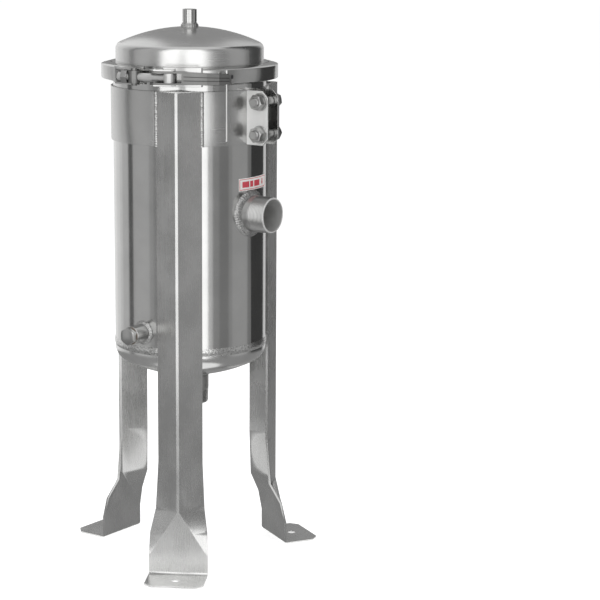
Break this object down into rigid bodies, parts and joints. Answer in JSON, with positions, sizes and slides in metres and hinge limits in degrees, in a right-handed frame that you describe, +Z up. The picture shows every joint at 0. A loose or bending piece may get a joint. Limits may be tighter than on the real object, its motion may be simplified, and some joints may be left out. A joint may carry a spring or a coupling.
{
  "type": "inlet filter",
  "caption": "Upright stainless cartridge filter vessel with a clamped domed lid, side inlet, bottom outlet, drain plug and folded sheet legs.",
  "frame": {"origin": "centre of the circle of foot bolt holes, on the floor plane under the vessel's axis", "axes": "+Z up along the vessel's axis, +X out of the inlet nipple, -Y out of the drain"},
  "size_m": [0.314, 0.3364, 0.7395],
  "materials": {
    "stainless": "mill-finished stainless steel",
    "polished": "polished stainless steel",
    "fastener": "bright stainless fasteners",
    "seal": "black nitrile rubber",
    "filter_media": "wound white polypropylene",
    "core_plastic": "plain polypropylene",
    "label": "printed white tape"
  },
  "bodies": {
    "vessel": {"vessel_shell": "stainless", "bottom_head": "stainless", "bottom_seam": "stainless", "inlet_nipple": "stainless", "inlet_weld": "stainless", "outlet_nipple": "stainless", "outlet_weld": "stainless", "drain_boss": "stainless", "drain_weld": "stainless", "neck_flange": "stainless", "stand_collar": "stainless", "leg_front": "stainless", "leg_right": "stainless", "leg_back": "stainless", "leg_welds": "stainless", "seat_plate": "stainless", "cartridge_seats": "stainless", "hold_down_plate": "stainless", "collar_bolts": "fastener", "collar_nuts": "fastener", "collar_washers": "fastener", "tie_rod": "fastener", "tie_washer": "fastener", "tie_rod_nuts": "fastener", "lid_gasket": "seal", "lower_end_gaskets": "seal", "upper_end_gaskets": "seal", "filter_cartridges": "filter_media", "cartridge_cores": "core_plastic", "inlet_label": "label"},
    "clamp_half_a": {"clamp_half_a": "polished", "latch_hook_bracket": "polished", "hinge_leaf_a": "polished", "clamp_hinge_pin": "polished"},
    "clamp_half_b": {"clamp_half_b": "polished", "lever_bracket": "polished", "lever_pivots": "polished", "hinge_leaf_b": "polished", "lock_lug": "polished"},
    "lever": {"lever_handle": "polished", "rod_pin": "polished"},
    "swing_rod": {"latch_rod": "polished", "latch_cross_bar": "polished", "latch_rod_nut": "fastener"},
    "lid": {"lid_head": "stainless", "lid_flange": "stainless", "vent_tube": "stainless", "vent_weld": "stainless"},
    "lock_pin": {"lock_pin": "polished"},
    "drain_plug": {"drain_plug": "fastener"}
  },
  "joints": [
    {"name": "lever_swing", "type": "hinge", "parent": "clamp_half_b", "child": "lever", "pos_m": [0.0387, -0.12127, 0.6596], "axis": [0, 0, -1], "range_deg": [0, 108]},
    {"name": "half_b_open", "type": "hinge", "parent": "vessel", "child": "clamp_half_b", "pos_m": [-0.02001, 0.12288, 0.6596], "axis": [0, 0, 1], "range_deg": [0, 16.5]},
    {"name": "half_a_open", "type": "hinge", "parent": "vessel", "child": "clamp_half_a", "pos_m": [-0.02001, 0.12288, 0.6596], "axis": [0, 0, -1], "range_deg": [0, 16.5]},
    {"name": "rod_swing", "type": "hinge", "parent": "lever", "child": "swing_rod", "pos_m": [0.05671, -0.11475, 0.6596], "axis": [0, 0, 1], "range_deg": [0, 153]},
    {"name": "lid_lift", "type": "slide", "parent": "vessel", "child": "lid", "axis": [0, 0, 1], "range_m": [0, 0.0029]},
    {"name": "lock_pin_pull", "type": "slide", "parent": "lever", "child": "lock_pin", "axis": [0, 0, 1], "range_m": [0, 0.095]},
    {"name": "drain_plug_out", "type": "slide", "parent": "vessel", "child": "drain_plug", "axis": [0, -1, 0], "range_m": [0, 0.014]}
  ],
  "couplings": [
    {"joint": "lever_swing", "follows": "half_b_open", "ratio": 6.5455},
    {"joint": "half_a_open", "follows": "half_b_open", "ratio": 1},
    {"joint": "rod_swing", "follows": "half_b_open", "ratio": 9.2727},
    {"joint": "lid_lift", "follows": "half_b_open", "m_per_rad": 0.01007}
  ]
}
